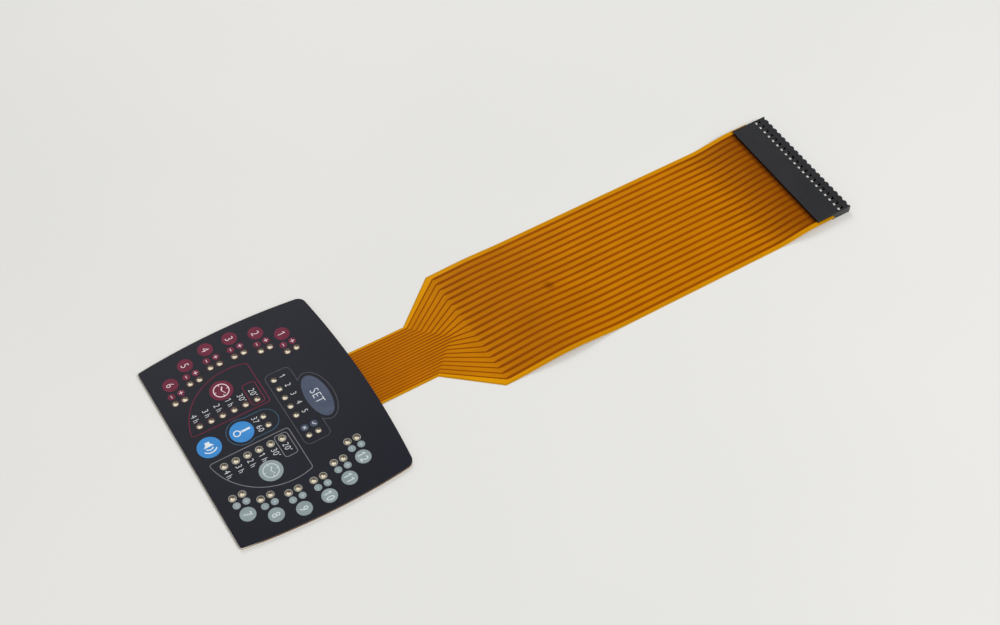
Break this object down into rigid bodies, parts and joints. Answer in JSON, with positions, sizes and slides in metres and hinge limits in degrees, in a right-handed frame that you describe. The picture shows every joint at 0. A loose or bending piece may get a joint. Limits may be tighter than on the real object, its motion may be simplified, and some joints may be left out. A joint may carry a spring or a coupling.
{
  "type": "membrane keypad",
  "caption": "Thin membrane keypad panel with printed keys and LED windows, on an amber flexible circuit whose tail fans out to a crimped pin-header connector.",
  "frame": {"origin": "middle of the panel's flat rear adhesive face", "axes": "+X across the panel, +Y from the panel along the tail to the connector, +Z out of the printed face"},
  "size_m": [0.0806, 0.245, 0.003],
  "materials": {
    "overlay_black": "satin black polyester film",
    "window_clear": "clear polyester window",
    "print_red": "wine red print",
    "print_grey": "pale grey print",
    "print_blue": "blue print",
    "print_slate": "slate print",
    "clear_adhesive": "clear transfer adhesive",
    "spacer_brown": "brown polyester sheet",
    "polyimide_base": "amber polyimide film",
    "trace_copper": "etched copper under amber film",
    "polyimide_cover": "amber polyimide film",
    "pad_copper": "bare etched copper",
    "rear_adhesive": "acrylic adhesive sheet",
    "led_cream": "cream moulded resin",
    "dome_steel": "stainless spring steel",
    "housing_black": "black moulded plastic",
    "contact_tin": "bright tin plate"
  },
  "bodies": {
    "root": {"overlay_film": "overlay_black", "led_windows": "window_clear", "red_print": "print_red", "grey_print": "print_grey", "blue_print": "print_blue", "slate_print": "print_slate", "overlay_adhesive": "clear_adhesive", "spacer": "spacer_brown", "flex_film": "polyimide_base", "copper_traces": "trace_copper", "coverlay": "polyimide_cover", "dome_pads": "pad_copper", "rear_adhesive": "rear_adhesive", "zone_leds_left": "led_cream", "zone_leds_right": "led_cream", "timer_leds_left": "led_cream", "timer_leds_right": "led_cream", "temperature_leds": "led_cream", "program_leds": "led_cream", "confirm_leds": "led_cream", "connector_housing": "housing_black", "dome_zone_1": "dome_steel", "dome_zone_2": "dome_steel", "dome_zone_3": "dome_steel", "dome_zone_4": "dome_steel", "dome_zone_5": "dome_steel", "dome_zone_6": "dome_steel", "dome_zone_12": "dome_steel", "dome_zone_11": "dome_steel", "dome_zone_10": "dome_steel", "dome_zone_9": "dome_steel", "dome_zone_8": "dome_steel", "dome_zone_7": "dome_steel", "dome_timer_left": "dome_steel", "dome_timer_right": "dome_steel", "dome_temperature": "dome_steel", "dome_sound": "dome_steel", "dome_program": "dome_steel", "contact_01": "contact_tin", "contact_02": "contact_tin", "contact_03": "contact_tin", "contact_04": "contact_tin", "contact_05": "contact_tin", "contact_06": "contact_tin", "contact_07": "contact_tin", "contact_08": "contact_tin", "contact_09": "contact_tin", "contact_10": "contact_tin", "contact_11": "contact_tin", "contact_12": "contact_tin", "contact_13": "contact_tin", "contact_14": "contact_tin", "contact_15": "contact_tin", "contact_16": "contact_tin", "contact_17": "contact_tin", "contact_18": "contact_tin", "contact_19": "contact_tin", "contact_20": "contact_tin"}
  },
  "joints": []
}
